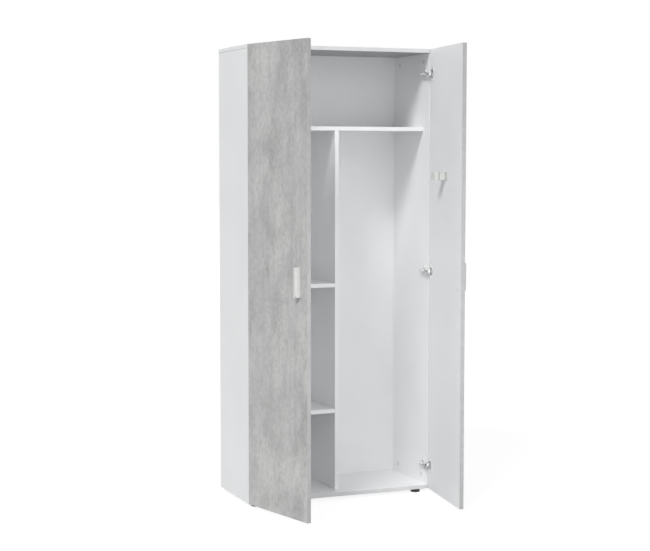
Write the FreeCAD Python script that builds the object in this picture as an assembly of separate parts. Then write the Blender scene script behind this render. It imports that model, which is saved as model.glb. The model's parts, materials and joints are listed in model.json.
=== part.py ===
import FreeCAD, Part
import math
import os

# Tall storage cabinet with two doors on concealed hinges, in millimetres.
# X runs to the right, Y to the back and Z up. The origin is the centre of the
# underside of the carcass, so the floor lies one glide height below it.
# The doors stand open, and each hinge carries its door on a four-bar linkage.

# Carcass
cabinet_width = 792.0
carcass_height = 1790.0
carcass_depth = 348.0
board = 16.0
top_bay_height = 296.0
front_setback = 56.0
left_bay_width = 372.0
upper_shelf_height = 837.0
lower_shelf_height = 328.5
shelf_end_gap = 0.5
shelf_back_gap = 2.0

# Back, in two leaves that meet behind the fixed shelf
back_thickness = 3.0
back_setback = 9.0
groove_depth = 6.0
groove_play = 0.1
leaf_play = 0.5

# Doors
door_gap = 2.0
hinge_edge_reveal = 0.5
middle_reveal = 1.0
top_reveal = 1.5
bottom_reveal = 2.0
edging_thickness = 1.0
left_open_angle = 75.98
right_open_angle = 81.82

# Hinge places and the four-bar linkage, seen from above with the door shut.
# Pivots are measured from the side's inner face and into the door's inner face.
hinge_end_distance = 98.0
carrier_arm_inset = 8.02
carrier_arm_depth = 8.87
fork_arm_inset = 18.45
fork_arm_depth = 8.99
carrier_cup_inset = -5.3
carrier_cup_depth = 4.89
fork_cup_inset = -1.93
fork_cup_depth = 2.12
carrier_turn_share = 0.414
fork_turn_share = 0.458

# Hinge cup
cup_centre_inset = 7.0
cup_radius = 17.45
cup_bore_play = 0.05
cup_wall = 1.05
cup_depth = 12.5
cup_floor = 0.7
flange_thickness = 1.0
flange_radius = 19.5
cup_screw_spacing = 48.0
cup_screw_offset = 6.0
wing_radius = 7.0

# Hinge links, pins and arm: layers are half heights about the hinge's middle
carrier_half_height = 4.5
cheek_inner = 4.8
cheek_outer = 6.0
fork_inner = 6.3
fork_outer = 7.3
pin_radius = 1.0
pin_play = 0.05
pin_end_play = 0.15
pin_head = 0.3
eye_radius = 2.2
carrier_half_width = 1.4
carrier_bow = 2.4
fork_half_width = 1.7
open_eye_bore = 2.75
open_eye_radius = 3.6
ear_reach = 2.4
arm_front = 10.0
arm_rear = 58.0
arm_top = 14.5
arm_web = 1.2
arm_lift = 2.6
nose_width = 3.4

# Mounting plate
plate_line = 37.0
plate_thickness = 2.0
plate_wing_length = 48.0
plate_wing_width = 13.0
plate_tongue_front = 20.0
plate_tongue_rear = 62.0
plate_tongue_half_height = 7.0
plate_screw_spacing = 32.0
spine_front = 22.0
spine_rear = 56.0
spine_play = 0.3
spine_top_gap = 0.4
fixing_screw_line = 49.0
adjusting_screw_line = 28.0

# Screws
wood_screw_radius = 2.0
wood_screw_head_radius = 3.8
wood_screw_head_height = 2.2
wood_screw_length = 11.0
machine_screw_radius = 2.4
machine_screw_head_radius = 3.9
machine_screw_head_height = 2.0
machine_screw_length = 6.0
slot_width = 1.0
slot_depth = 0.8
head_crown_share = 0.72
cross_share = 0.62
fit_play = 0.05
bottoming_play = 0.5

# Knock-down fittings
cam_radius = 7.5
cam_height = 12.0
cam_sink = 0.5
cam_setback = 34.0
cam_bolt_radius = 2.6
cam_bolt_head_radius = 3.4
cam_bolt_head_length = 4.0
cam_bolt_thread_radius = 3.0
cam_bolt_thread_length = 11.0
cam_bolt_bore = 4.0
cam_passage = 3.8
cap_radius = 8.5
cap_thickness = 0.8
dowel_radius = 4.0
dowel_length = 30.0
dowel_in_face = 10.0
joint_front_inset = 56.0
shelf_joint_front_inset = 40.0
joint_rear_inset = 64.0
dowel_offset = 32.0

# Shelf pins
shelf_pin_radius = 2.5
shelf_pin_depth = 9.0
shelf_pin_collar_radius = 3.6
shelf_pin_collar = 1.0
shelf_pin_reach = 8.0
shelf_pin_half_width = 3.0
shelf_pin_inset = 50.0

# Handles
handle_length = 112.0
handle_width = 15.0
handle_proud = 21.0
handle_edge_distance = 46.0
handle_facet_width = 11.0
handle_facet_depth = 8.0
handle_facet_height = 13.0
handle_round = 2.0
handle_screw_spacing = 96.0
handle_screw_bite = 10.0

# Floor glides
glide_radius = 19.0
glide_height = 14.0
glide_chamfer = 1.5
glide_left_inset = 38.0
glide_right_inset = 59.0
glide_row_inset = 25.0
glide_recess_depth = 4.0
glide_recess_play = 0.6
glide_screw_bite_share = 0.75

# Broom clip on the inner face of the right door
clip_from_hinge_edge = 187.0
clip_height = 1283.0
clip_base_width = 72.0
clip_base_height = 30.0
clip_base_thickness = 3.0
clip_jaw_height = 32.0
clip_stick_radius = 11.0
clip_jaw_thickness = 3.0
clip_jaw_opening = 16.0
clip_neck_foot = 24.0
clip_neck_waist = 13.0
clip_axis_off_face = 34.5
clip_lip_spread = 15.0
clip_lip_reach = 52.0
clip_lip_thickness = 2.6
clip_screw_spacing = 56.0

# One overrun serves every cut
overrun = 1.0

# Places that follow from the sizes above
half_width = cabinet_width / 2
half_depth = carcass_depth / 2
front = -half_depth
rear = half_depth
ceiling = carcass_height - board
inner_half = half_width - board
back_face = rear - back_setback - back_thickness
shelf_top = ceiling - top_bay_height
shelf_underside = shelf_top - board
divider_left = -inner_half + left_bay_width
divider_right = divider_left + board
shelf_front = front + front_setback
door_width = half_width - hinge_edge_reveal - middle_reveal
door_bottom = bottom_reveal
door_top = carcass_height - top_reveal
door_middle = (door_bottom + door_top) / 2
door_outer = -door_gap - board
hinge_heights = [door_bottom + hinge_end_distance, door_middle, door_top - hinge_end_distance]
joint_rows = [front + joint_front_inset, rear - joint_rear_inset]
shelf_joint_rows = [shelf_front + shelf_joint_front_inset, rear - joint_rear_inset]

UP = FreeCAD.Vector(0, 0, 1)
RIGHT = FreeCAD.Vector(1, 0, 0)
BACK = FreeCAD.Vector(0, 1, 0)


def point(x, y, z=0.0):
    return FreeCAD.Vector(x, y, z)


def block(x0, y0, z0, x1, y1, z1):
    """A box between two corners."""
    return Part.makeBox(x1 - x0, y1 - y0, z1 - z0, point(x0, y0, z0))


def rod(radius, start, end):
    """A cylinder from one point to another."""
    axis = end - start
    return Part.makeCylinder(radius, axis.Length, start, axis)


def plate(outline, z0, z1):
    """A flat piece from a closed outline seen from above."""
    wire = Part.makePolygon([point(x, y, z0) for x, y in outline + outline[:1]])
    return Part.Face(wire).extrude(UP * (z1 - z0))


def mirrored_up(z0, z1):
    """The two layers that lie evenly above and below a hinge's middle."""
    return [(z0, z1), (-z1, -z0)]


def raised(shape, height):
    """A copy of a hinge piece at the height of its hinge."""
    copy = shape.copy()
    copy.translate(UP * height)
    return copy


def at_each_hinge(shapes):
    """Copies of hinge pieces at the three hinges of a door."""
    return [raised(shape, height) for height in hinge_heights for shape in shapes]


def local_frame(origin, along, normal):
    """The placement whose X runs along a joint and whose Z leaves the face."""
    side = normal.cross(along)
    matrix = FreeCAD.Matrix(
        along.x, side.x, normal.x, origin.x,
        along.y, side.y, normal.y, origin.y,
        along.z, side.z, normal.z, origin.z,
        0, 0, 0, 1,
    )
    return FreeCAD.Placement(matrix)


def placed(shape, placement):
    copy = shape.copy()
    copy.Placement = placement.multiply(copy.Placement)
    return copy


# Plan frame of one side: x from the side's outer face, y from its front edge


def on_left(shape):
    copy = shape.copy()
    copy.translate(point(-half_width, front))
    return copy


def on_right(shape):
    copy = shape.mirror(point(0, 0), RIGHT)
    copy.translate(point(half_width, front))
    return copy


def plan_pivot(inset, depth):
    """A hinge pivot with the door shut."""
    return point(board + inset, -door_gap - depth)


carrier_arm_pivot = plan_pivot(carrier_arm_inset, carrier_arm_depth)
fork_arm_pivot = plan_pivot(fork_arm_inset, fork_arm_depth)
carrier_cup_pivot = plan_pivot(carrier_cup_inset, carrier_cup_depth)
fork_cup_pivot = plan_pivot(fork_cup_inset, fork_cup_depth)
cup_centre = plan_pivot(cup_centre_inset, 0.0)


def turned(shape, pivot, angle):
    copy = shape.copy()
    copy.rotate(pivot, UP, angle)
    return copy


def carrier_at(shape, opening):
    """A carrier link piece with the door opened by an angle."""
    return turned(shape, carrier_arm_pivot, carrier_turn_share * opening)


def fork_at(shape, opening):
    """A fork link piece with the door opened by an angle."""
    return turned(shape, fork_arm_pivot, fork_turn_share * opening)


def door_at(shape, opening):
    """A door piece carried by the carrier link and turned at the cup pin."""
    moved = Part.Vertex(carrier_cup_pivot)
    moved.rotate(carrier_arm_pivot, UP, carrier_turn_share * opening)
    copy = turned(shape, carrier_cup_pivot, -opening)
    copy.translate(moved.Point - carrier_cup_pivot)
    return copy


# Knock-down fittings in their own frame: X runs from the joint into the board
# that holds the cam, and Z leaves that board through the face over the cam.


def cam_lock():
    bottom = board / 2 - cam_sink - cam_height
    seat = point(cam_setback, 0, bottom)
    body = Part.makeCylinder(cam_radius - fit_play, cam_height, seat)
    entry = point(cam_setback - cam_radius - overrun, 0)
    passage = rod(cam_passage, entry, point(cam_setback + cam_bolt_head_length, 0))
    top = bottom + cam_height
    reach = cam_radius / 2
    slot = block(
        cam_setback - reach, -slot_width / 2, top - slot_depth,
        cam_setback + reach, slot_width / 2, top + overrun,
    )
    cross = turned(slot, point(cam_setback, 0), 90)
    return body.cut(passage).cut(slot.fuse(cross))


def cam_bolt():
    head_start = cam_setback - cam_bolt_head_length / 2
    thread = rod(cam_bolt_thread_radius - fit_play, point(-cam_bolt_thread_length, 0), point(0, 0))
    shank = rod(cam_bolt_radius, point(0, 0), point(head_start, 0))
    head = rod(cam_bolt_head_radius, point(head_start, 0), point(head_start + cam_bolt_head_length, 0))
    return thread.fuse(shank).fuse(head).removeSplitter()


def cam_cap():
    return Part.makeCylinder(cap_radius, cap_thickness, point(cam_setback, 0, board / 2))


def cam_board_bores():
    """What a cam and its bolt take out of the board that holds them."""
    floor = board / 2 - cam_sink - cam_height
    bore = Part.makeCylinder(cam_radius, board / 2 - floor + overrun, point(cam_setback, 0, floor))
    return bore.fuse(rod(cam_bolt_bore, point(-overrun, 0), point(cam_setback, 0)))


def cam_mate_bore():
    depth = cam_bolt_thread_length + bottoming_play
    return rod(cam_bolt_thread_radius, point(-depth, 0), point(overrun, 0))


def dowel():
    return rod(dowel_radius - fit_play, point(-dowel_in_face, 0), point(dowel_length - dowel_in_face, 0))


def dowel_board_bore():
    return rod(dowel_radius, point(-overrun, 0), point(dowel_length - dowel_in_face + bottoming_play, 0))


def dowel_mate_bore():
    return rod(dowel_radius, point(-dowel_in_face - bottoming_play, 0), point(overrun, 0))


def joint_places():
    """Every cam joint: its name, its boards, and its frame and dowel frame."""
    places = []

    def add(cammed, mate, x, z, along, normal, rows):
        for row, inward in zip(rows, (1, -1)):
            cam = local_frame(point(x, row, z), along, normal)
            peg = local_frame(point(x, row + inward * dowel_offset, z), along, normal)
            places.append((cammed, mate, cam, peg))

    side_middle = half_width - board / 2
    for name, sign in (("left_side_panel", -1), ("right_side_panel", 1)):
        inward = RIGHT * -sign
        add(name, "top_panel", sign * side_middle, ceiling, -UP, inward, joint_rows)
        add(name, "bottom_panel", sign * side_middle, board, UP, inward, joint_rows)
        shelf_middle = shelf_underside + board / 2
        add("fixed_shelf", name, sign * inner_half, shelf_middle, inward, -UP, shelf_joint_rows)
    divider_middle = divider_left + board / 2
    add("divider_panel", "fixed_shelf", divider_middle, shelf_underside, -UP, RIGHT, shelf_joint_rows)
    add("divider_panel", "bottom_panel", divider_middle, board, UP, RIGHT, shelf_joint_rows)
    return places


joints = joint_places()


def drilled(name, shape):
    """A board with the bores of every joint that it takes part in."""
    for cammed, mate, cam, peg in joints:
        if name == cammed:
            shape = shape.cut(placed(cam_board_bores(), cam))
            shape = shape.cut(placed(dowel_board_bore(), peg))
        if name == mate:
            shape = shape.cut(placed(cam_mate_bore(), cam))
            shape = shape.cut(placed(dowel_mate_bore(), peg))
    return shape


# Boards of the carcass


def groove_band():
    """The space that the back and its play take out of the boards round it."""
    reach = inner_half + groove_depth
    return block(
        -reach, back_face - groove_play, board - groove_depth,
        reach, back_face + back_thickness + groove_play, ceiling + groove_depth,
    )


def shelf_pin_rows():
    return [shelf_front + shelf_pin_inset, back_face - shelf_pin_inset]


def shelf_pin_places():
    """Each shelf pin: its board, the face it leaves, and which way it points."""
    places = []
    for height in (upper_shelf_height, lower_shelf_height):
        for row in shelf_pin_rows():
            places.append(("left_side_panel", point(-inner_half, row, height), RIGHT))
            places.append(("divider_panel", point(divider_left, row, height), -RIGHT))
    return places


def shelf_pin(place, along):
    """A pin whose collar and spade carry a shelf at the height of its place."""
    axis = place - UP * shelf_pin_collar_radius
    shank = rod(shelf_pin_radius - fit_play, axis - along * shelf_pin_depth, axis)
    collar = rod(shelf_pin_collar_radius, axis, axis + along * shelf_pin_collar)
    tip = axis + along * shelf_pin_reach
    low = axis.z
    spade = block(
        min(axis.x, tip.x), axis.y - shelf_pin_half_width, low,
        max(axis.x, tip.x), axis.y + shelf_pin_half_width, place.z,
    )
    return shank.fuse(collar).fuse(spade)


def shelf_pin_bores(name):
    bores = []
    for board_name, place, along in shelf_pin_places():
        if board_name == name:
            axis = place - UP * shelf_pin_collar_radius
            depth = shelf_pin_depth + bottoming_play
            bores.append(rod(shelf_pin_radius, axis - along * depth, axis + along * overrun))
    return Part.makeCompound(bores)


def side_panel(name, to_side):
    panel = to_side(block(0, 0, board, board, carcass_depth, ceiling))
    panel = drilled(name, panel.cut(groove_band()))
    if name == "left_side_panel":
        panel = panel.cut(shelf_pin_bores(name))
    pilots = Part.makeCompound(at_each_hinge(plate_screw_bores()))
    return panel.cut(to_side(pilots))


def top_panel():
    panel = block(-half_width, front, ceiling, half_width, rear, carcass_height)
    return drilled("top_panel", panel.cut(groove_band()))


def bottom_panel():
    panel = block(-half_width, front, 0, half_width, rear, board)
    panel = drilled("bottom_panel", panel.cut(groove_band()))
    pilots = []
    for place in glide_places().values():
        pilots.append(rod(wood_screw_radius, place - UP * overrun, place + UP * glide_screw_bite))
    return panel.cut(Part.makeCompound(pilots))


def fixed_shelf():
    shelf = block(-inner_half, shelf_front, shelf_underside, inner_half, back_face, shelf_top)
    return drilled("fixed_shelf", shelf)


def divider_panel():
    panel = block(divider_left, shelf_front, board, divider_right, back_face, shelf_underside)
    return drilled("divider_panel", panel).cut(shelf_pin_bores("divider_panel"))


def loose_shelf(height):
    return block(
        -inner_half + shelf_end_gap, shelf_front, height,
        divider_left - shelf_end_gap, back_face - shelf_back_gap, height + board,
    )


def back_leaf(low, high):
    reach = inner_half + groove_depth - leaf_play
    return block(-reach, back_face, low, reach, back_face + back_thickness, high)


back_joint = shelf_underside + board / 2
back_low = board - groove_depth + leaf_play
back_high = ceiling + groove_depth - leaf_play

# Floor glides


def glide_places():
    rows = {"front": front + glide_row_inset, "rear": rear - glide_row_inset}
    places = {}
    for row, y in rows.items():
        places[row + "_left_glide"] = point(-half_width + glide_left_inset, y)
        places[row + "_right_glide"] = point(half_width - glide_right_inset, y)
    return places


glide_screw_bite = board * glide_screw_bite_share


def glide(place):
    """A round glide with a bevelled foot and a recess for its screw head."""
    floor = place - UP * glide_height
    rim_height = glide_height - glide_chamfer
    foot = Part.makeCone(glide_radius - glide_chamfer, glide_radius, glide_chamfer, floor)
    rim = Part.makeCylinder(glide_radius, rim_height, place - UP * rim_height)
    body = foot.fuse(rim).removeSplitter()
    recess_radius = wood_screw_head_radius + glide_recess_play
    low = place - UP * (glide_height + overrun)
    recess = rod(recess_radius, low, place - UP * (glide_height - glide_recess_depth))
    hole = rod(wood_screw_radius + fit_play, low, place + UP * overrun)
    return body.cut(recess.fuse(hole))


def wood_screw(tip_side, head_seat, length):
    """A pan head screw: its head rises from the seat away from the tip."""
    shank = rod(wood_screw_radius - fit_play, head_seat, head_seat + tip_side * length)
    head_end = head_seat - tip_side * wood_screw_head_height
    head = Part.makeCone(
        wood_screw_head_radius, wood_screw_head_radius * head_crown_share,
        wood_screw_head_height, head_seat, head_end - head_seat,
    )
    return shank.fuse(head)


def glide_screw(place):
    grip = glide_height - glide_recess_depth
    return wood_screw(UP, place - UP * grip, grip + glide_screw_bite - bottoming_play)


# Hinge pieces in the plan frame of one side, about the hinge's middle height


def carrier_centreline():
    """The bowed line of the carrier link: its centre and radius."""
    chord = carrier_arm_pivot - carrier_cup_pivot
    half = chord.Length / 2
    radius = (half * half + carrier_bow * carrier_bow) / (2 * carrier_bow)
    middle = (carrier_arm_pivot + carrier_cup_pivot) * 0.5
    bow_side = point(chord.y, -chord.x).normalize()
    return middle, bow_side, radius


def carrier_link():
    """A thick bowed link that carries the door between arm pin and cup pin."""
    middle, bow_side, radius = carrier_centreline()
    centre = middle - bow_side * (radius - carrier_bow)
    low = -carrier_half_height
    edges = []
    rims = []
    for offset in (carrier_half_width, -carrier_half_width):
        ends = []
        for place in (carrier_cup_pivot, middle + bow_side * carrier_bow, carrier_arm_pivot):
            spoke = (place - centre).normalize()
            ends.append(centre + spoke * (radius + offset) + UP * low)
        rims.append(ends)
        edges.append(Part.Arc(ends[0], ends[1], ends[2]).toShape())
    edges.append(Part.makeLine(rims[0][0], rims[1][0]))
    edges.append(Part.makeLine(rims[0][2], rims[1][2]))
    wire = Part.Wire(Part.__sortEdges__(edges))
    link = Part.Face(wire).extrude(UP * (2 * carrier_half_height))
    return eyed(link, (carrier_arm_pivot, carrier_cup_pivot), low, carrier_half_height)


def eyed(link, pivots, low, high):
    """A link with a round eye and a running bore at each pivot."""
    for pivot in pivots:
        link = link.fuse(rod(eye_radius, pivot + UP * low, pivot + UP * high))
    link = link.removeSplitter()
    for pivot in pivots:
        start = pivot + UP * (low - overrun)
        link = link.cut(rod(pin_radius + pin_play, start, pivot + UP * (high + overrun)))
    return link


def fork_plate(low, high):
    """One of the two thin plates that steer the door beside the arm."""
    along = (fork_cup_pivot - fork_arm_pivot).normalize()
    across = point(-along.y, along.x) * fork_half_width
    corners = [
        fork_arm_pivot + across, fork_cup_pivot + across,
        fork_cup_pivot - across, fork_arm_pivot - across,
    ]
    strip = plate([(corner.x, corner.y) for corner in corners], low, high)
    strip = strip.fuse(rod(open_eye_radius, fork_cup_pivot + UP * low, fork_cup_pivot + UP * high))
    strip = eyed(strip, (fork_arm_pivot,), low, high)
    start = fork_cup_pivot + UP * (low - overrun)
    return strip.cut(rod(open_eye_bore, start, fork_cup_pivot + UP * (high + overrun)))


def fork_link():
    return [fork_plate(low, high) for low, high in mirrored_up(fork_inner, fork_outer)]


def pin(pivot, reach):
    return rod(pin_radius, pivot - UP * reach, pivot + UP * reach)


def arm_pins():
    """The rivets at the nose of the arm: one inside the cheeks, one past the fork."""
    return [pin(carrier_arm_pivot, cheek_outer), pin(fork_arm_pivot, fork_outer + pin_head)]


def cup_chord(x):
    """Half the height of the cup's wall at a place across it."""
    off = x - cup_centre.x
    return math.sqrt(cup_radius * cup_radius - off * off)


def cup_pins():
    """The cup's pin inside its ears, and a stub on each side for the fork."""
    stub_start = cheek_outer + pin_end_play
    stub_end = cup_chord(fork_cup_pivot.x - pin_radius) - cup_bore_play
    stubs = []
    for low, high in mirrored_up(stub_start, stub_end):
        stubs.append(rod(pin_radius, fork_cup_pivot + UP * low, fork_cup_pivot + UP * high))
    return [pin(carrier_cup_pivot, cheek_outer)] + stubs


def arm_outline():
    """The arm seen from above: a straight rear and a nose that dips to the pins."""
    low = board + arm_lift
    high = board + arm_top
    nose_low = carrier_arm_pivot.x - eye_radius
    nose_high = fork_arm_pivot.x + eye_radius
    tip = min(carrier_arm_pivot.y, fork_arm_pivot.y)
    return [
        (low, arm_rear), (high, arm_rear), (high, arm_front), (nose_high, -door_gap - nose_width),
        (nose_high, tip), (nose_low, tip), (nose_low, -door_gap), (low, arm_front),
    ]


def hinge_arm():
    """A pressed channel whose two cheeks run forward to the arm pins."""
    pivots = (carrier_arm_pivot, fork_arm_pivot)
    body = plate(arm_outline(), -cheek_outer, cheek_outer)
    for pivot in pivots:
        body = body.fuse(rod(eye_radius, pivot - UP * cheek_outer, pivot + UP * cheek_outer))
    body = body.removeSplitter().cut(plate(arm_hollow(), -cheek_inner, cheek_inner))
    for pivot in pivots:
        body = body.cut(pin(pivot, cheek_outer + overrun))
    for line in (fixing_screw_line, adjusting_screw_line):
        body = body.cut(arm_screw_bore(line))
    return body


def arm_hollow():
    """The space between the cheeks, under the web and all round the pins."""
    low = board + arm_lift - arm_web - overrun
    web_low = board + arm_top - arm_web
    nose_high = fork_arm_pivot.x + eye_radius
    nose_root = -door_gap - nose_width
    past_pins = min(carrier_arm_pivot.y, fork_arm_pivot.y) - eye_radius - overrun
    return [
        (low, arm_rear + overrun), (web_low, arm_rear + overrun), (web_low, arm_front),
        (nose_high - arm_web, nose_root), (nose_high + overrun, nose_root),
        (nose_high + overrun, past_pins), (low, past_pins),
    ]


def arm_screw_bore(line):
    tip = point(spine_top - machine_screw_length, line)
    return rod(machine_screw_radius, tip, point(board + arm_top + overrun, line))


spine_top = board + arm_top - arm_web - spine_top_gap


def mounting_plate():
    """A cross of sheet on the side, with a spine that fills the arm."""
    half = plate_wing_length / 2
    wing_front = plate_line - plate_wing_width / 2
    wing = block(board, wing_front, -half, board + plate_thickness, wing_front + plate_wing_width, half)
    tongue = block(
        board, plate_tongue_front, -plate_tongue_half_height,
        board + plate_thickness, plate_tongue_rear, plate_tongue_half_height,
    )
    side = cheek_inner - spine_play
    spine = block(board, spine_front, -side, spine_top, spine_rear, side)
    body = wing.fuse(tongue).fuse(spine).removeSplitter()
    for line in (fixing_screw_line, adjusting_screw_line):
        body = body.cut(arm_screw_bore(line))
    for place in plate_screw_places():
        start = place - RIGHT * overrun
        body = body.cut(rod(wood_screw_radius, start, place + RIGHT * (plate_thickness + overrun)))
    return body


def plate_screw_places():
    reach = plate_screw_spacing / 2
    return [point(board, plate_line, reach), point(board, plate_line, -reach)]


def plate_screws():
    seat = RIGHT * plate_thickness
    length = plate_thickness + wood_screw_length
    return [wood_screw(-RIGHT, place + seat, length) for place in plate_screw_places()]


def plate_screw_bores():
    depth = wood_screw_length + bottoming_play
    bores = []
    for place in plate_screw_places():
        bores.append(rod(wood_screw_radius, place - RIGHT * depth, place + RIGHT * overrun))
    return bores


def arm_screws():
    """The fixing screw and the adjusting screw on the back of the arm."""
    screws = []
    for line in (fixing_screw_line, adjusting_screw_line):
        seat = point(board + arm_top, line)
        tip = point(spine_top - machine_screw_length + bottoming_play, line)
        shank = rod(machine_screw_radius - fit_play, tip, seat)
        head = rod(machine_screw_head_radius, seat, seat + RIGHT * machine_screw_head_height)
        top = seat.x + machine_screw_head_height
        reach = machine_screw_head_radius * cross_share
        cuts = []
        for across, up in ((slot_width / 2, reach), (reach, slot_width / 2)):
            cuts.append(block(top - slot_depth, line - across, -up, top + overrun, line + across, up))
        screws.append(shank.fuse(head).removeSplitter().cut(cuts[0].fuse(cuts[1])))
    return screws


def cup_screw_places():
    """Where the cup's two screws enter the door's inner face."""
    reach = cup_screw_spacing / 2
    x = cup_centre.x + cup_screw_offset
    return [point(x, -door_gap, reach), point(x, -door_gap, -reach)]


def hinge_cup():
    """A pressed cup with a winged flange and two ears for the link pin."""
    face = cup_centre + BACK * flange_thickness
    floor = cup_centre - BACK * cup_depth
    shell = rod(cup_radius, floor, face).fuse(rod(flange_radius, cup_centre, face))
    for place in cup_screw_places():
        shell = shell.fuse(rod(wing_radius, place, place + BACK * flange_thickness))
    half = cup_screw_spacing / 2
    x = cup_centre.x + cup_screw_offset
    bridge = block(
        x - wing_radius, -door_gap, -half,
        x + wing_radius, -door_gap + flange_thickness, half,
    )
    shell = shell.fuse(bridge).removeSplitter()
    cavity_floor = floor + BACK * cup_floor
    shell = shell.cut(rod(cup_radius - cup_wall, cavity_floor, face + BACK * overrun))
    left = cup_centre.x - cup_chord(cup_centre.x + cheek_outer) + cup_wall / 2
    for low, high in mirrored_up(cheek_inner, cheek_outer):
        ear = block(
            left, floor.y + cup_floor / 2, low,
            carrier_cup_pivot.x + ear_reach, carrier_cup_pivot.y + ear_reach, high,
        )
        shell = shell.fuse(ear)
    shell = shell.removeSplitter()
    for hole in cup_pins():
        shell = shell.cut(hole)
    for place in cup_screw_places():
        start = place - BACK * overrun
        shell = shell.cut(rod(wood_screw_radius, start, place + BACK * (flange_thickness + overrun)))
    return shell


def cup_screws():
    seat = BACK * flange_thickness
    length = flange_thickness + wood_screw_length
    return [wood_screw(-BACK, place + seat, length) for place in cup_screw_places()]


# Door pieces in the plan frame, with the door shut


def door_block(inset):
    return block(
        hinge_edge_reveal + inset, door_outer, door_bottom + inset,
        hinge_edge_reveal + door_width - inset, -door_gap, door_top - inset,
    )


def door_bores():
    """What hinge cups, their screws and the handle screws take out of a door."""
    bores = []
    for height in hinge_heights:
        middle = cup_centre + UP * height
        radius = cup_radius + cup_bore_play
        depth = cup_depth + bottoming_play
        bores.append(rod(radius, middle - BACK * depth, middle + BACK * overrun))
        for place in cup_screw_places():
            start = place + UP * height
            depth = wood_screw_length + bottoming_play
            bores.append(rod(wood_screw_radius, start - BACK * depth, start + BACK * overrun))
    for place in handle_screw_places():
        bores.append(rod(wood_screw_radius, place - BACK * (board + overrun), place + BACK * overrun))
    return bores


def door_panel(extra_bores):
    return door_block(edging_thickness).cut(Part.makeCompound(door_bores() + extra_bores))


def door_edging():
    middle = block(
        hinge_edge_reveal + edging_thickness, door_outer - overrun, door_bottom + edging_thickness,
        hinge_edge_reveal + door_width - edging_thickness, -door_gap + overrun, door_top - edging_thickness,
    )
    return door_block(0).cut(middle)


handle_middle = hinge_edge_reveal + door_width - handle_edge_distance - handle_width / 2


def handle_screw_places():
    reach = handle_screw_spacing / 2
    return [point(handle_middle, -door_gap, door_middle + side * reach) for side in (-1, 1)]


def handle():
    """A moulded bar. A slope takes off the lower front corner on the door's free side."""
    low = door_middle - handle_length / 2
    front_face = door_outer - handle_proud
    free_side = handle_middle + handle_width / 2
    body = block(
        free_side - handle_width, front_face, low, free_side, door_outer, low + handle_length,
    )
    corner = point(free_side, front_face, low)
    tips = [
        corner - RIGHT * handle_facet_width, corner + BACK * handle_facet_depth,
        corner + UP * handle_facet_height,
    ]
    # the cutter is twice as large as the corner, so that it reaches out of the bar all round
    middle = (tips[0] + tips[1] + tips[2]) / 3
    slope = [middle + (tip - middle) * 2 for tip in tips]
    cutter = Part.Face(Part.makePolygon(slope + slope[:1])).extrude((corner - middle) * 2)
    body = body.cut(cutter)
    rounded = []
    for edge in body.Edges:
        if all(vertex.Point.y < door_outer - overrun for vertex in edge.Vertexes):
            rounded.append(edge)
    body = body.makeFillet(handle_round, rounded)
    depth = handle_screw_bite + bottoming_play
    for place in handle_screw_places():
        seat = place - BACK * board
        body = body.cut(rod(wood_screw_radius, seat - BACK * depth, seat + BACK * overrun))
    return body


def handle_screws():
    return [wood_screw(-BACK, place, board + handle_screw_bite) for place in handle_screw_places()]


# Broom clip in the plan frame, on the inner face of the shut door


clip_middle = hinge_edge_reveal + clip_from_hinge_edge


def clip_screw_places():
    reach = clip_screw_spacing / 2
    face = -door_gap + clip_base_thickness
    return [point(clip_middle + side * reach, face, clip_height) for side in (-1, 1)]


def clip_lip(side, start, low, high):
    """A lip of the clip that flares from the ring and guides a stick in."""
    tip = -door_gap + clip_lip_reach
    inner = clip_jaw_opening / 2
    outline = [
        (clip_middle + side * inner, start),
        (clip_middle + side * (inner + clip_lip_thickness), start),
        (clip_middle + side * clip_lip_spread, tip),
        (clip_middle + side * (clip_lip_spread - clip_lip_thickness), tip),
    ]
    return plate(outline, low, high)


def broom_clip():
    """A base plate with a neck and a sprung ring, open where a stick goes in."""
    face = -door_gap
    axis = point(clip_middle, face + clip_axis_off_face)
    half = clip_base_height / 2
    base = block(
        clip_middle - clip_base_width / 2, face, clip_height - half,
        clip_middle + clip_base_width / 2, face + clip_base_thickness, clip_height + half,
    )
    low = clip_height - clip_jaw_height / 2
    high = clip_height + clip_jaw_height / 2
    foot = clip_neck_foot / 2
    waist = clip_neck_waist / 2
    neck_end = axis.y - clip_stick_radius
    neck = plate(
        [
            (clip_middle - foot, face), (clip_middle + foot, face),
            (clip_middle + waist, neck_end), (clip_middle - waist, neck_end),
        ],
        low, high,
    )
    outer = clip_stick_radius + clip_jaw_thickness
    body = base.fuse(neck).fuse(rod(outer, axis + UP * low, axis + UP * high))
    body = body.cut(rod(clip_stick_radius, axis + UP * (low - overrun), axis + UP * (high + overrun)))
    opening = clip_jaw_opening / 2
    body = body.cut(block(
        clip_middle - opening, axis.y, low - overrun,
        clip_middle + opening, axis.y + outer + overrun, high + overrun,
    ))
    lip_start = axis.y + math.sqrt(clip_stick_radius ** 2 - opening ** 2)
    for side in (-1, 1):
        body = body.fuse(clip_lip(side, lip_start, low, high))
    body = body.removeSplitter()
    for place in clip_screw_places():
        start = place - BACK * (clip_base_thickness + overrun)
        body = body.cut(rod(wood_screw_radius, start, place + BACK * overrun))
    return body


def clip_screws():
    length = clip_base_thickness + wood_screw_length
    return [wood_screw(-BACK, place, length) for place in clip_screw_places()]


def clip_bores():
    bores = []
    for place in clip_screw_places():
        start = place - BACK * (clip_base_thickness + wood_screw_length + bottoming_play)
        bores.append(rod(wood_screw_radius, start, place + BACK * overrun))
    return bores


# Export


def save(name, shapes):
    """Write one node, as one solid or as a group of separate solids."""
    shape = shapes if isinstance(shapes, Part.Shape) else Part.makeCompound(shapes)
    for solid in shape.Solids:
        if not solid.isValid():
            print("not valid:", name)
    print(name, len(shape.Solids), "solids", round(shape.Volume))
    shape.exportStep("parts/" + name + ".step")


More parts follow.
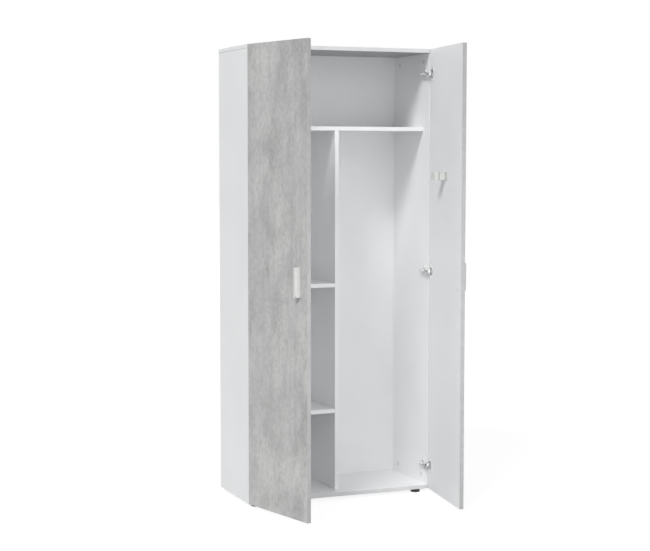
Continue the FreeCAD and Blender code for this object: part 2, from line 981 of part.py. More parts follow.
def save_carcass():
    save("left_side_panel", side_panel("left_side_panel", on_left))
    save("right_side_panel", side_panel("right_side_panel", on_right))
    save("top_panel", top_panel())
    save("bottom_panel", bottom_panel())
    save("fixed_shelf", fixed_shelf())
    save("divider_panel", divider_panel())
    save("upper_left_shelf", loose_shelf(upper_shelf_height))
    save("lower_left_shelf", loose_shelf(lower_shelf_height))
    save("upper_back_panel", back_leaf(back_joint, back_high))
    save("lower_back_panel", back_leaf(back_low, back_joint))


def save_fittings():
    save("cam_locks", [placed(cam_lock(), cam) for _, _, cam, _ in joints])
    save("cam_bolts", [placed(cam_bolt(), cam) for _, _, cam, _ in joints])
    save("cam_cover_caps", [placed(cam_cap(), cam) for _, _, cam, _ in joints])
    save("wooden_dowels", [placed(dowel(), peg) for _, _, _, peg in joints])
    save("shelf_pins", [shelf_pin(place, along) for _, place, along in shelf_pin_places()])
    for name, place in glide_places().items():
        save(name, glide(place))
    save("glide_screws", [glide_screw(place) for place in glide_places().values()])


def save_side(side, to_side, opening, fit_clip):
    """One door with its hinges, opened as it stands at rest."""

    def fixed(name, shapes):
        save(side + name, [to_side(shape) for shape in at_each_hinge(shapes)])

    def carried(name, shapes, move):
        save(side + name, [to_side(move(shape, opening)) for shape in shapes])

    fixed("_hinge_arms", [hinge_arm()])
    fixed("_mounting_plates", [mounting_plate()])
    fixed("_plate_screws", plate_screws())
    fixed("_arm_screws", arm_screws())
    fixed("_arm_pins", arm_pins())
    carried("_carrier_links", at_each_hinge([carrier_link()]), carrier_at)
    carried("_fork_links", at_each_hinge(fork_link()), fork_at)
    carried("_hinge_cups", at_each_hinge([hinge_cup()]), door_at)
    carried("_cup_pins", at_each_hinge(cup_pins()), door_at)
    carried("_cup_screws", at_each_hinge(cup_screws()), door_at)
    carried("_door_panel", [door_panel(clip_bores() if fit_clip else [])], door_at)
    carried("_door_edging", [door_edging()], door_at)
    carried("_door_handle", [handle()], door_at)
    carried("_handle_screws", handle_screws(), door_at)
    if fit_clip:
        save("broom_clip", to_side(door_at(broom_clip(), opening)))
        save("clip_screws", [to_side(door_at(screw, opening)) for screw in clip_screws()])


def pivots_at_rest(side, to_side, opening):
    """Print where the pins of a door's hinges stand with the door at rest."""
    arm = to_side(Part.Vertex(carrier_arm_pivot)).Point
    fork = to_side(Part.Vertex(fork_arm_pivot)).Point
    cup = to_side(door_at(Part.Vertex(carrier_cup_pivot), opening)).Point
    for name, place in (("arm pin", arm), ("fork pin", fork), ("cup pin", cup)):
        print(side, name, round(place.x, 4), round(place.y, 4))


os.makedirs("parts", exist_ok=True)
save_carcass()
save_fittings()
save_side("left", on_left, left_open_angle, False)
save_side("right", on_right, right_open_angle, True)
pivots_at_rest("left", on_left, left_open_angle)
pivots_at_rest("right", on_right, right_open_angle)
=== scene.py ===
import json
import math

import bmesh
import bpy
from mathutils import Matrix, Vector


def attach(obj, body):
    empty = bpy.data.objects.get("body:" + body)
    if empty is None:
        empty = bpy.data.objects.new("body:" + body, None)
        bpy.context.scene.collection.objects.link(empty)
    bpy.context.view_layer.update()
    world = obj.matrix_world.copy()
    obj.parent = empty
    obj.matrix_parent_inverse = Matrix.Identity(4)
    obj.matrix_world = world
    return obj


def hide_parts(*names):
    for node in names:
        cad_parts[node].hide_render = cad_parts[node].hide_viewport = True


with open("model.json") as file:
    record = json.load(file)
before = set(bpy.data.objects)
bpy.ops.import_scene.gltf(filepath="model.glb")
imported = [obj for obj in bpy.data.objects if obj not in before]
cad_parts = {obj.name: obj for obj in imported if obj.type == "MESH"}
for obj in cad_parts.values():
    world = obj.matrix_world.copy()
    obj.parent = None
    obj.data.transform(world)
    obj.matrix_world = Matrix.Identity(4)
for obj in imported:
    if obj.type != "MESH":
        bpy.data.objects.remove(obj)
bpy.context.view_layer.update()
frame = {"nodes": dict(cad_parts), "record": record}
nodes = frame["nodes"]
slotOf = {piece["node"]: piece["material_slot"] for piece in frame["record"]["subparts"]}
bodyOf = {name: body for body, names in frame["record"]["behaviour"]["bodies"].items() for name in names}
print("packed model loaded:", len(nodes), "nodes")


def linear(hexColour, alpha=1.0):
    # sRGB hex to the linear values that shaders take
    parts = [int(hexColour[i:i + 2], 16) / 255 for i in (1, 3, 5)]
    return tuple(p / 12.92 if p <= 0.04045 else ((p + 0.055) / 1.055) ** 2.4 for p in parts) + (alpha,)


def addNode(tree, kind, inputs=None, **settings):
    # a shader node with its settings and links; an input takes a value, a hex colour, a socket, or a node
    # that stands for its first output in use
    node = tree.nodes.new(kind)
    for name, value in settings.items():
        setattr(node, name, value)
    for key, value in (inputs or {}).items():
        socket = node.inputs[key] if isinstance(key, int) else next(
            s for s in node.inputs if s.enabled and s.name == key)
        if isinstance(value, bpy.types.Node):
            value = next(s for s in value.outputs if s.enabled)
        if isinstance(value, bpy.types.NodeSocket):
            tree.links.new(value, socket)
        else:
            socket.default_value = linear(value) if isinstance(value, str) else value
    return node


seedDrift = (1.0, 1.7, 0.6)  # how far a pattern moves along each axis for every unit of its seed


def patternOn(tree, place, pattern, seed=0.0):
    # soft patches of a real size: "mm" is their width and height, "levels" is where the noise starts and
    # stops to show, and "reach" is what it gives there
    wide, high = (1000 / size for size in pattern["mm"])
    seed += pattern.get("seed", 0.0)
    spot = addNode(tree, "ShaderNodeMapping", {"Vector": place["Object"], "Scale": (wide, wide, high),
                                               "Location": tuple(drift * seed for drift in seedDrift)})
    noise = addNode(tree, "ShaderNodeTexNoise", {"Vector": spot, "Scale": 1.0, "Detail": pattern["detail"],
                                                 "Roughness": pattern["rough"]})
    first, last = pattern.get("reach", (0.0, 1.0))
    return addNode(tree, "ShaderNodeMapRange",
                   {"Value": noise, "From Min": pattern["levels"][0], "From Max": pattern["levels"][1],
                    "To Min": first, "To Max": last}, interpolation_type="SMOOTHSTEP")


def colourOf(tree, place, finish, seed=0.0):
    # the base colour, with each layer laid over it where its pattern shows
    colour = finish["base"]
    for layer in finish["layers"]:
        shown = patternOn(tree, place, layer, seed)
        if "brokenBy" in layer:
            flecks = patternOn(tree, place, layer["brokenBy"], seed)
            shown = addNode(tree, "ShaderNodeMath", {0: shown, 1: flecks}, operation="MULTIPLY")
        colour = addNode(tree, "ShaderNodeMix", {"Factor": shown, "A": colour, "B": layer["colour"]},
                         data_type="RGBA")
    return colour


def jointShadeLine(tree, place, joint, colour):
    # a thin line at one height, drawn over a colour: painted shade in a joint between boards
    height = addNode(tree, "ShaderNodeSeparateXYZ", {0: place["Object"]}).outputs["Z"]
    line = addNode(tree, "ShaderNodeMath", {0: height, 1: joint["height"] / 1000, 2: joint["mm"] / 2000},
                   operation="COMPARE")
    return addNode(tree, "ShaderNodeMix", {"Factor": line, "A": colour, "B": joint["colour"]},
                   data_type="RGBA")


sideLimit = 0.65  # a face is on a side when it looks along it by more than this, the cosine of 49 degrees
metresPerMillimetre = 0.001


def makeMaterial(name, finish, sides=(), seed=0.0):
    # one finish, with others on the faces that look along the directions in sides
    material = bpy.data.materials.new(name)
    material.use_nodes = True
    tree = material.node_tree
    tree.nodes.clear()
    place = addNode(tree, "ShaderNodeTexCoord").outputs
    colour = colourOf(tree, place, finish, seed)
    # the joint under the top is drawn as a dark line of painted shade
    if "joint" in finish:
        colour = jointShadeLine(tree, place, finish["joint"], colour)
    sheen = patternOn(tree, place, finish["sheen"], seed)
    relief = patternOn(tree, place, finish["relief"], seed)
    for toward, other in sides:
        along = addNode(tree, "ShaderNodeVectorMath", {0: place["Normal"], 1: toward},
                        operation="DOT_PRODUCT")
        side = addNode(tree, "ShaderNodeMath", {0: along, 1: sideLimit}, operation="GREATER_THAN")
        colour = addNode(tree, "ShaderNodeMix",
                         {"Factor": side, "A": colour, "B": colourOf(tree, place, other)}, data_type="RGBA")
        sheen = addNode(tree, "ShaderNodeMix",
                        {"Factor": side, "A": sheen, "B": patternOn(tree, place, other["sheen"])})
        relief = addNode(tree, "ShaderNodeMix",
                         {"Factor": side, "A": relief, "B": patternOn(tree, place, other["relief"])})
    bump = addNode(tree, "ShaderNodeBump", {"Height": relief, "Distance": metresPerMillimetre})
    surface = addNode(tree, "ShaderNodeBsdfPrincipled",
                      {"Base Color": colour, "Roughness": sheen, "Normal": bump,
                       "Metallic": finish.get("metallic", 0.0), "IOR": finish.get("ior", 1.5)})
    addNode(tree, "ShaderNodeOutputMaterial", {"Surface": surface})
    return material


# Melamine paper pressed on chipboard under a pearl-grained plate. To the eye it is an even cool white
# satin, whose sheen wanders a little and whose grain only shows in a glancing light.
melamine = {
    "base": "#f6f7f8",
    "layers": [{"colour": "#f3f4f5", "mm": (350, 350), "detail": 2.0, "rough": 0.5, "levels": (0.35, 0.65)}],
    "sheen": {"mm": (20, 20), "detail": 4.0, "rough": 0.6, "levels": (0.3, 0.7), "reach": (0.42, 0.52)},
    # the real pearls are 0.3 mm wide, too fine to show, so they are drawn at 1.6 mm
    "relief": {"mm": (1.6, 1.6), "detail": 2.0, "rough": 0.5, "levels": (0.2, 0.8), "reach": (0.0, 0.03)},
}

# The carcass boards add the joint under the top, a dark hairline along the sides: the 0.3 mm gap between the
# boards with painted shade in it. It is 0.3 mm wide, too fine to show, so it is drawn at 1.2 mm.
carcassBoard = dict(melamine, joint={"height": 1774.0, "mm": 1.2, "colour": "#a4a4a5"})

# Paper banding ironed on the front edges of the top and bottom: the same print, with painted shade that
# makes it a little greyer than the pressed faces, so that these front edges look dimmer than the shelf
# fronts.
shadedEdgeBand = dict(melamine, base="#e6e7e8", layers=[
    {"colour": "#e1e2e3", "mm": (60, 60), "detail": 3.0, "rough": 0.5, "levels": (0.35, 0.65)}])

# Sawn chipboard, left raw on the rear edges: tan chips 2 to 5 mm long in a darker, rough, dry ground.
rawChipboard = {
    "base": "#9c7c54",
    "layers": [
        {"colour": "#c4a478", "mm": (3.5, 3.5), "detail": 3.0, "rough": 0.7, "levels": (0.35, 0.62)},
        {"colour": "#dcc49c", "mm": (2.2, 4.5), "detail": 2.0, "rough": 0.5, "levels": (0.56, 0.66),
         "reach": (0.0, 0.6), "seed": 4.0},
    ],
    "sheen": {"mm": (3, 3), "detail": 2.0, "rough": 0.5, "levels": (0.3, 0.7), "reach": (0.85, 0.95)},
    "relief": {"mm": (3, 3), "detail": 4.0, "rough": 0.7, "levels": (0.3, 0.7), "reach": (0.0, 0.3)},
}

# Hardboard back with sprayed acrylic lacquer on its smooth side: a flatter, slightly dimmer white.
lacquer = {
    "base": "#f4f5f6",
    "layers": [{"colour": "#f1f2f3", "mm": (200, 200), "detail": 3.0, "rough": 0.55, "levels": (0.3, 0.7)}],
    "sheen": {"mm": (30, 30), "detail": 4.0, "rough": 0.6, "levels": (0.3, 0.7), "reach": (0.40, 0.55)},
    "relief": {"mm": (2, 2), "detail": 2.0, "rough": 0.5, "levels": (0.2, 0.8), "reach": (0.0, 0.04)},
    "ior": 1.49,
}

# The hardboard's bare rear side carries the mark of the press mesh: brown, dull and finely ribbed with
# fibres. The mesh is 1.5 mm, drawn at 3 mm so that it shows.
hardboardRear = {
    "base": "#a98562",
    "layers": [
        {"colour": "#936f4c", "mm": (4, 4), "detail": 5.0, "rough": 0.55, "levels": (0.3, 0.7)},
        {"colour": "#b08c68", "mm": (160, 240), "detail": 4.0, "rough": 0.6, "levels": (0.4, 0.7),
         "reach": (0.0, 0.3), "seed": 2.0},
    ],
    "sheen": {"mm": (6, 6), "detail": 3.0, "rough": 0.6, "levels": (0.3, 0.7), "reach": (0.7, 0.85)},
    "relief": {"mm": (3, 3), "detail": 3.0, "rough": 0.6, "levels": (0.3, 0.7), "reach": (0.0, 0.15)},
}

# Concrete decor: paper printed like float-finished concrete, pressed under matt melamine resin. The eye
# gets pale clouds, tall faint streaks, and darker patches that break up into small ragged flecks.
concreteDecor = {
    "base": "#d0d0cf",
    "layers": [
        {"colour": "#c0c0c0", "mm": (200, 320), "detail": 5.0, "rough": 0.6, "levels": (0.36, 0.64)},
        {"colour": "#8e8e8e", "mm": (26, 286), "detail": 4.0, "rough": 0.55, "levels": (0.48, 0.72),
         "reach": (0.0, 0.20), "seed": 3.0},
        {"colour": "#8e8e8e", "mm": (14, 20), "detail": 5.0, "rough": 0.7, "levels": (0.42, 0.66),
         "reach": (0.0, 0.30), "seed": 5.0},
        {"colour": "#8e8e8e", "mm": (140, 238), "detail": 5.0, "rough": 0.62, "levels": (0.42, 0.66),
         "reach": (0.0, 0.62), "seed": 7.0,
         "brokenBy": {"mm": (10, 14), "detail": 6.0, "rough": 0.68, "levels": (0.36, 0.66),
                      "reach": (0.4, 1.0), "seed": 9.0}},
        # printed pores are 1 to 3 mm wide, drawn at 6 mm so that they show
        {"colour": "#868685", "mm": (6, 8.4), "detail": 2.0, "rough": 0.5, "levels": (0.64, 0.74),
         "reach": (0.0, 0.35), "seed": 11.0},
    ],
    "sheen": {"mm": (12, 12), "detail": 4.0, "rough": 0.6, "levels": (0.3, 0.7), "reach": (0.50, 0.64)},
    "relief": {"mm": (2.2, 2.2), "detail": 3.0, "rough": 0.6, "levels": (0.2, 0.8), "reach": (0.0, 0.04)},
}

# Extruded ABS edging, printed to go with the decor: plainer and a little glossier than the face.
printedEdging = {
    "base": "#bbbbbc",
    "layers": [{"colour": "#b1b1b2", "mm": (30, 30), "detail": 5.0, "rough": 0.55, "levels": (0.3, 0.7)}],
    "sheen": {"mm": (10, 10), "detail": 4.0, "rough": 0.6, "levels": (0.3, 0.7), "reach": (0.38, 0.48)},
    "relief": {"mm": (1.5, 1.5), "detail": 2.0, "rough": 0.5, "levels": (0.2, 0.8), "reach": (0.0, 0.02)},
    "ior": 1.54,
}

# Injection-moulded ABS of the handles and cover caps: a fine spark-eroded satin that takes a soft, wide
# highlight. Its grain is 0.1 mm, drawn at 0.8 mm so that it shows.
mouldedAbs = {
    "base": "#dfdfdd",
    "layers": [{"colour": "#dadad9", "mm": (20, 20), "detail": 3.0, "rough": 0.55, "levels": (0.3, 0.7)}],
    "sheen": {"mm": (6, 6), "detail": 4.0, "rough": 0.6, "levels": (0.3, 0.7), "reach": (0.30, 0.38)},
    "relief": {"mm": (0.8, 0.8), "detail": 2.0, "rough": 0.5, "levels": (0.2, 0.8), "reach": (0.0, 0.01)},
    "ior": 1.54,
}

# Polyamide of the clip, moulded springy and left uncoloured: a milky pale grey, dull where it is thick.
polyamide = {
    "base": "#cfd0ce",
    "layers": [{"colour": "#c8c9c7", "mm": (15, 15), "detail": 3.0, "rough": 0.55, "levels": (0.3, 0.7)}],
    "sheen": {"mm": (5, 5), "detail": 4.0, "rough": 0.6, "levels": (0.3, 0.7), "reach": (0.40, 0.50)},
    "relief": {"mm": (1, 1), "detail": 2.0, "rough": 0.5, "levels": (0.2, 0.8), "reach": (0.0, 0.02)},
    "ior": 1.53,
}

# Polypropylene of the glides, moulded in black: waxy, with scuffs that catch a little more light.
polypropylene = {
    "base": "#1c1c1d",
    "layers": [{"colour": "#252526", "mm": (10, 10), "detail": 3.0, "rough": 0.55, "levels": (0.3, 0.7)}],
    "sheen": {"mm": (4, 4), "detail": 4.0, "rough": 0.6, "levels": (0.3, 0.7), "reach": (0.45, 0.60)},
    "relief": {"mm": (0.8, 0.8), "detail": 2.0, "rough": 0.5, "levels": (0.2, 0.8), "reach": (0.0, 0.03)},
    "ior": 1.49,
}

# Bright nickel plate on pressed steel: a pale mirror that the rolled sheet's fine grain softens.
nickelPlate = {
    "base": "#ebebea",
    "layers": [{"colour": "#e2e2e2", "mm": (6, 6), "detail": 3.0, "rough": 0.55, "levels": (0.3, 0.7)}],
    "sheen": {"mm": (3, 3), "detail": 4.0, "rough": 0.6, "levels": (0.3, 0.7), "reach": (0.22, 0.34)},
    "relief": {"mm": (0.7, 0.7), "detail": 2.0, "rough": 0.5, "levels": (0.2, 0.8), "reach": (0.0, 0.01)},
    "metallic": 1.0,
}

# Die-cast zinc of the cam locks: a dull bluish grey with the frosty skin of the mould.
castZinc = {
    "base": "#a9a9ab",
    "layers": [{"colour": "#98989b", "mm": (4, 4), "detail": 3.0, "rough": 0.55, "levels": (0.3, 0.7)}],
    "sheen": {"mm": (2, 2), "detail": 4.0, "rough": 0.6, "levels": (0.3, 0.7), "reach": (0.38, 0.52)},
    "relief": {"mm": (0.9, 0.9), "detail": 2.0, "rough": 0.5, "levels": (0.2, 0.8), "reach": (0.0, 0.03)},
    "metallic": 1.0,
}

# Turned beech of the dowels: pinkish tan with short dark flecks, dry and unvarnished.
beech = {
    "base": "#cda473",
    "layers": [{"colour": "#b98d5c", "mm": (1.5, 1.5), "detail": 4.0, "rough": 0.55, "levels": (0.3, 0.7)}],
    "sheen": {"mm": (2, 2), "detail": 4.0, "rough": 0.6, "levels": (0.3, 0.7), "reach": (0.55, 0.70)},
    "relief": {"mm": (1, 1), "detail": 2.0, "rough": 0.5, "levels": (0.2, 0.8), "reach": (0.0, 0.04)},
}

# How far each door stands open, and from that the way its white inner face looks
doorTurn = {"left_door": math.radians(75.98), "right_door": math.radians(81.82)}
inwardOf = {body: (side * math.sin(doorTurn[body]), math.cos(doorTurn[body]), 0)
            for body, side in (("left_door", 1), ("right_door", -1))}
rearward, frontward = (0, 1, 0), (0, -1, 0)

finishes = {
    "white_board": makeMaterial("white melamine on chipboard", carcassBoard, [(rearward, rawChipboard)]),
    # the top and bottom front edges take the greyer banding, which is painted shade
    "banded_board": makeMaterial("paper-banded melamine board, fronts in painted shade", carcassBoard,
                                 [(rearward, rawChipboard), (frontward, shadedEdgeBand)]),
    "back_board": makeMaterial("lacquered hardboard", lacquer, [(rearward, hardboardRear)]),
    "left_door": makeMaterial("concrete-decor melamine, left door", concreteDecor,
                              [(inwardOf["left_door"], melamine)], seed=1.3),
    "right_door": makeMaterial("concrete-decor melamine, right door", concreteDecor,
                               [(inwardOf["right_door"], melamine)], seed=21.7),
    "door_edging": makeMaterial("printed ABS edging", printedEdging),
    "white_plastic": makeMaterial("white moulded ABS", mouldedAbs),
    "clip_plastic": makeMaterial("natural polyamide", polyamide),
    "black_plastic": makeMaterial("black polypropylene", polypropylene),
    "plated_steel": makeMaterial("nickel-plated pressed steel", nickelPlate),
    "zinc_casting": makeMaterial("die-cast zinc", castZinc),
    "beech": makeMaterial("turned beech", beech),
}

for name, node in nodes.items():
    finish = finishes[bodyOf[name] if slotOf[name] == "door_board" else slotOf[name]]
    # the top and bottom take the banded finish, whose front edges carry painted shade
    if name in ("top_panel", "bottom_panel"):
        finish = finishes["banded_board"]
    node.data.materials.clear()
    node.data.materials.append(finish)
print("finishes given to", len(nodes), "nodes")


def standIn(name, mesh):
    # a piece that takes a node's place, with its body and finish
    mesh.materials.append(nodes[name].data.materials[0])
    piece = bpy.data.objects.new(mesh.name, mesh)
    bpy.context.scene.collection.objects.link(piece)
    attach(piece, bodyOf[name])
    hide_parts(name)


# Boards with eased arrises: the banding machine rounds an edge by nearly a millimetre, and each
# rounded edge draws a thin light or dark line. Sawn rear edges stay sharp. Sizes are in metres: "weld" joins
# the node's split corners, and "reach" is how near to a board's outermost plane an arris lies.
easing = {
    "boardRadius": 0.0009, "edgingRadius": 0.0007, "steps": 3, "reach": 0.00002,
    "weld": 1e-6, "flatDegrees": 0.3, "roundProfile": 0.5,
    "boards": ("left_side_panel", "right_side_panel", "top_panel", "bottom_panel", "fixed_shelf",
               "divider_panel", "upper_left_shelf", "lower_left_shelf"),
    "edgings": ("left_door_edging", "right_door_edging"),
}


def easedCopy(name, radius, inward=(0, 1, 0), keepRear=False):
    # the node's own mesh with its outermost arrises rounded
    normal = Vector(inward)
    along = Vector((normal.y, -normal.x, 0))
    shape = bmesh.new()
    shape.from_mesh(nodes[name].data)
    bmesh.ops.remove_doubles(shape, verts=shape.verts, dist=easing["weld"])
    bmesh.ops.dissolve_limit(shape, angle_limit=math.radians(easing["flatDegrees"]), verts=shape.verts,
                             edges=shape.edges)
    spots = {v: (v.co.dot(along), v.co.dot(normal), v.co.z) for v in shape.verts}
    low = [min(spot[i] for spot in spots.values()) for i in range(3)]
    high = [max(spot[i] for spot in spots.values()) for i in range(3)]
    arrises = []
    for edge in shape.edges:
        ends = [spots[v] for v in edge.verts]
        sides = [(i, side) for i in range(3) for side in (low, high)
                 if all(abs(end[i] - side[i]) < easing["reach"] for end in ends)]
        rear = keepRear and any(i == 1 and side is high for i, side in sides)
        if len(sides) >= 2 and not rear:  # an arris lies in two outermost planes at once
            arrises.append(edge)
    for face in shape.faces:
        face.smooth = False
    made = bmesh.ops.bevel(shape, geom=arrises, offset=radius, offset_type="OFFSET",
                           segments=easing["steps"], profile=easing["roundProfile"], affect="EDGES",
                           clamp_overlap=True, material=-1)
    for face in made["faces"]:  # only the rounded strips are shaded smooth
        face.smooth = True
    mesh = bpy.data.meshes.new(name + "_eased")
    shape.to_mesh(mesh)
    shape.free()
    standIn(name, mesh)


for name in easing["boards"]:
    easedCopy(name, easing["boardRadius"], keepRear=True)
for name in easing["edgings"]:
    easedCopy(name, easing["edgingRadius"], inwardOf[bodyOf[name]])
print("boards and edgings eased")


# Wood screws: domed heads with the four-winged recess of their driver, where the solids have plain cones.
# Sizes are in metres. No two recesses stand alike: each screw is turned on by "turnStep" radians. A node's
# screws are found in no fixed order, so which of them has which turn differs from run to run.
screws = {
    "headRadius": 0.0038, "headHeight": 0.0022, "rim": 0.0005, "domeDegrees": (18, 36, 54, 70, 84),
    "shankRadius": 0.00195, "tipRadius": 0.0004, "tipLength": 0.003, "sides": 40,
    "recessReach": 0.0023, "recessWidth": 0.001, "recessDepth": 0.0012, "recessTaper": 0.7,
    "plugTop": 0.001, "firstTurn": 0.3, "turnStep": 0.7, "sharpAngle": 0.6,
    "nodes": ("glide_screws", "left_plate_screws", "right_plate_screws", "left_cup_screws",
              "right_cup_screws", "left_handle_screws", "right_handle_screws", "clip_screws"),
}

# How a screw is found in its node's mesh, in metres: "endBand" holds the points of one end, and
# "headBand" is deep enough to hold the whole head
finding = {"weld": 1e-6, "rounds": 4, "endBand": 0.0006, "headBand": 0.0025}


def screwPlaces(name):
    # for each loose part of a node: the top of its head, the way out of it and the screw's whole length
    shape = bmesh.new()
    shape.from_mesh(nodes[name].data)
    bmesh.ops.remove_doubles(shape, verts=shape.verts, dist=finding["weld"])
    left, places = set(shape.verts), []
    while left:
        part, edge = set(), [left.pop()]
        while edge:
            vertex = edge.pop()
            part.add(vertex)
            edge.extend(w for e in vertex.link_edges for w in e.verts if w in left)
            left.difference_update(edge)
        middle = sum((v.co for v in part), Vector()) / len(part)
        far = max(part, key=lambda v: (v.co - middle).length).co
        axis = (far - middle).normalized()
        for _ in range(finding["rounds"]):  # the screw's own line: ends averaged until they settle
            reach = [v.co.dot(axis) for v in part]
            ends = []
            for bound in (min(reach), max(reach)):
                rim = [v.co for v in part if abs(v.co.dot(axis) - bound) < finding["endBand"]]
                ends.append(sum(rim, Vector()) / len(rim))
            axis = (ends[1] - ends[0]).normalized()
        wide = [max(((v.co - end) - (v.co - end).dot(axis) * axis).length for v in part
                    if abs((v.co - end).dot(axis)) < finding["headBand"]) for end in ends]
        head, tip = (ends[1], ends[0]) if wide[1] > wide[0] else (ends[0], ends[1])
        places.append((head, (head - tip).normalized(), (head - tip).length))
    shape.free()
    return places


def lathe(shape, profile, sides):
    # rings of (radius, height) joined into a closed turned body
    angles = [2 * math.pi * i / sides for i in range(sides)]
    rings = [[shape.verts.new((r * math.cos(a), r * math.sin(a), z)) for a in angles] for r, z in profile]
    for below, above in zip(rings, rings[1:]):
        for i in range(sides):
            j = (i + 1) % sides
            shape.faces.new((below[i], below[j], above[j], above[i]))
    shape.faces.new(reversed(rings[0]))
    shape.faces.new(rings[-1])


def headAndShank(length):
    # the turned body of one screw, its head's top at the origin and its tip along -Z
    radius, height, rim = screws["headRadius"], screws["headHeight"], screws["rim"]
    profile = [(screws["tipRadius"], -length), (screws["shankRadius"], -length + screws["tipLength"]),
               (screws["shankRadius"], -height), (radius, -height), (radius, -height + rim)]
    profile += [(radius * math.cos(t), -height + rim + (height - rim) * math.sin(t))
                for t in (math.radians(a) for a in screws["domeDegrees"])]
    shape = bmesh.new()
    lathe(shape, profile, screws["sides"])
    mesh = bpy.data.meshes.new("screw")
    shape.to_mesh(mesh)
    shape.free()
    return mesh


def recessCutter():
    # a tapering four-winged plug that stands a little out of the head
    reach, half, taper = screws["recessReach"], screws["recessWidth"] / 2, screws["recessTaper"]
    cross = [(reach, -half), (reach, half), (half, half), (half, reach), (-half, reach), (-half, half),
             (-reach, half), (-reach, -half), (-half, -half), (-half, -reach), (half, -reach), (half, -half)]
    shape = bmesh.new()
    top = [shape.verts.new((x, y, screws["plugTop"])) for x, y in cross]
    deep = [shape.verts.new((x * taper, y * taper, -screws["recessDepth"])) for x, y in cross]
    shape.faces.new(top)
    shape.faces.new(reversed(deep))
    for i in range(len(cross)):
        j = (i + 1) % len(cross)
        shape.faces.new((top[j], top[i], deep[i], deep[j]))
    bmesh.ops.recalc_face_normals(shape, faces=shape.faces)
    mesh = bpy.data.meshes.new("recess")
    shape.to_mesh(mesh)
    shape.free()
    return mesh


def screwMesh(length):
    # one screw with its recess cut into the head
    pair = [bpy.data.objects.new(mesh.name, mesh) for mesh in (headAndShank(length), recessCutter())]
    for item in pair:
        bpy.context.scene.collection.objects.link(item)
    recess = pair[0].modifiers.new("recess", "BOOLEAN")
    recess.object, recess.solver = pair[1], "EXACT"
    view = bpy.context.evaluated_depsgraph_get()
    made = bpy.data.meshes.new_from_object(pair[0].evaluated_get(view))
    for item in pair:
        bpy.data.objects.remove(item)
    return made


def buildScrews(name):
    places = screwPlaces(name)
    screw = screwMesh(places[0][2])
    whole = bmesh.new()
    for number, (head, outward, _) in enumerate(places):
        one = screw.copy()
        turn = Matrix.Rotation(screws["turnStep"] * number + screws["firstTurn"], 4, "Z")
        upright = outward.to_track_quat("Z", "Y").to_matrix().to_4x4()
        one.transform(Matrix.Translation(head) @ upright @ turn)
        whole.from_mesh(one)
    for face in whole.faces:
        face.smooth = True
    for edge in whole.edges:
        edge.smooth = edge.calc_face_angle(0) < screws["sharpAngle"]
    mesh = bpy.data.meshes.new(name + "_recessed")
    whole.to_mesh(mesh)
    whole.free()
    standIn(name, mesh)


for name in screws["nodes"]:
    buildScrews(name)
print("screws made:", len(screws["nodes"]), "sets")


# Floor and light. "From" is in degrees to the left of the front and above the horizon, and a lamp's "Angle"
# is how wide it looks, which softens its shadows. The floor that the camera sees glows to a clean white
# round a soft shadow; what the object gets back from it is a plain grey.
studio = {
    "keyFrom": (48, 46), "keyStrength": 1.75, "keyAngle": 17.0,
    "fillFrom": (0, 8), "fillStrength": 0.40, "fillAngle": 60.0,
    "sideFrom": (88, 20), "sideStrength": 0.16, "sideAngle": 30.0,
    "panelPlace": (0.0, -1.35, 0.80), "panelSize": (0.7, 1.1), "panelPower": 3.6,
    "skyStrength": 0.49,
    "floorTop": -0.014, "floorSize": 60.0,
    "floorSeen": "#808080", "floorGlow": 0.87, "floorBounce": "#a0a0a0",
}


def cameraRay(tree):
    # 1 for what the camera sees straight, in a mirror or through glass
    path = addNode(tree, "ShaderNodeLightPath").outputs
    either = addNode(tree, "ShaderNodeMath", {0: path["Is Camera Ray"], 1: path["Is Glossy Ray"]},
                     operation="MAXIMUM")
    return addNode(tree, "ShaderNodeMath", {0: either, 1: path["Is Transmission Ray"]}, operation="MAXIMUM")


def buildFloor():
    mesh = bpy.data.meshes.new("studioFloor")
    shape = bmesh.new()
    bmesh.ops.create_grid(shape, x_segments=2, y_segments=2, size=studio["floorSize"] / 2)
    shape.to_mesh(mesh)
    shape.free()
    floor = bpy.data.objects.new("studioFloor", mesh)
    floor.location.z = studio["floorTop"]
    bpy.context.scene.collection.objects.link(floor)
    material = bpy.data.materials.new("white studio floor")
    material.use_nodes = True
    tree = material.node_tree
    tree.nodes.clear()
    dim = addNode(tree, "ShaderNodeBsdfDiffuse", {"Color": studio["floorSeen"]})
    glow = addNode(tree, "ShaderNodeEmission", {"Color": "#ffffff", "Strength": studio["floorGlow"]})
    both = addNode(tree, "ShaderNodeAddShader", {0: dim, 1: glow})
    plain = addNode(tree, "ShaderNodeBsdfDiffuse", {"Color": studio["floorBounce"]})
    mixed = addNode(tree, "ShaderNodeMixShader", {0: cameraRay(tree), 1: plain, 2: both})
    addNode(tree, "ShaderNodeOutputMaterial", {"Surface": mixed})
    mesh.materials.append(material)


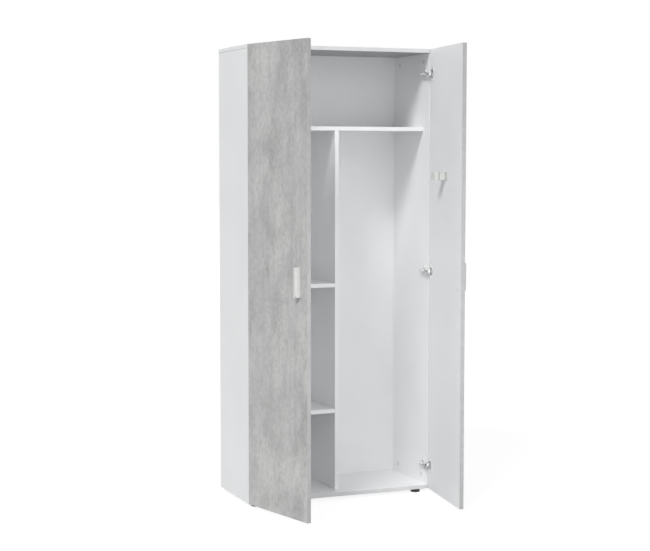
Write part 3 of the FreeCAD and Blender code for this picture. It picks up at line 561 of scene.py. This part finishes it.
def buildLight():
    world = bpy.data.worlds.new("studio")
    bpy.context.scene.world = world
    world.use_nodes = True
    tree = world.node_tree
    tree.nodes.clear()
    sky = addNode(tree, "ShaderNodeBackground", {"Color": "#ffffff", "Strength": studio["skyStrength"]})
    white = addNode(tree, "ShaderNodeBackground", {"Color": "#ffffff", "Strength": 1.0})
    mixed = addNode(tree, "ShaderNodeMixShader", {0: cameraRay(tree), 1: sky, 2: white})
    addNode(tree, "ShaderNodeOutputWorld", {"Surface": mixed})
    for name in ("key", "fill", "side"):
        lamp = bpy.data.lights.new(name + "Sun", "SUN")
        lamp.energy = studio[name + "Strength"]
        lamp.angle = math.radians(studio[name + "Angle"])
        turn, rise = (math.radians(a) for a in studio[name + "From"])
        aim = Vector((-math.sin(turn) * math.cos(rise), -math.cos(turn) * math.cos(rise), math.sin(rise)))
        sun = bpy.data.objects.new(name + "Sun", lamp)
        sun.rotation_euler = aim.to_track_quat("Z", "Y").to_euler()
        bpy.context.scene.collection.objects.link(sun)
    # a low soft panel before the opening brightens the bays
    lamp = bpy.data.lights.new("openingPanel", "AREA")
    lamp.shape = "RECTANGLE"
    lamp.size, lamp.size_y = studio["panelSize"]
    lamp.energy = studio["panelPower"]
    panel = bpy.data.objects.new("openingPanel", lamp)
    panel.location = studio["panelPlace"]
    panel.rotation_euler = (math.radians(90), 0, 0)
    bpy.context.scene.collection.objects.link(panel)


# The photograph's camera, solved from the edges of the carcass: its place in metres, its turns in degrees
# and its focal length in pixels of a picture that is "photoWidth" pixels wide
lens = {
    "place": (-2.3763, -5.8089, 1.3670), "turn": 22.22185, "down": 4.47854, "roll": -0.03,
    "focal": 1544.50, "photoWidth": 650, "sensorWidth": 36.0,
}


def buildCamera():
    data = bpy.data.cameras.new("photoCamera")
    data.sensor_width = lens["sensorWidth"]
    data.sensor_fit = "HORIZONTAL"
    data.lens = lens["focal"] * lens["sensorWidth"] / lens["photoWidth"]
    turn, down = math.radians(lens["turn"]), math.radians(lens["down"])
    ahead = Vector((math.sin(turn) * math.cos(down), math.cos(turn) * math.cos(down), -math.sin(down)))
    right = Vector((math.cos(turn), -math.sin(turn), 0))
    camera = bpy.data.objects.new("photoCamera", data)
    axes = Matrix((right, right.cross(ahead), -ahead)).transposed()
    camera.matrix_world = Matrix.Translation(lens["place"]) @ axes.to_4x4() @ Matrix.Rotation(
        math.radians(-lens["roll"]), 4, "Z")
    bpy.context.scene.collection.objects.link(camera)
    bpy.context.scene.camera = camera


buildFloor()
buildLight()
buildCamera()
bpy.context.scene.view_settings.view_transform = "Standard"
print("floor, light and camera in place")
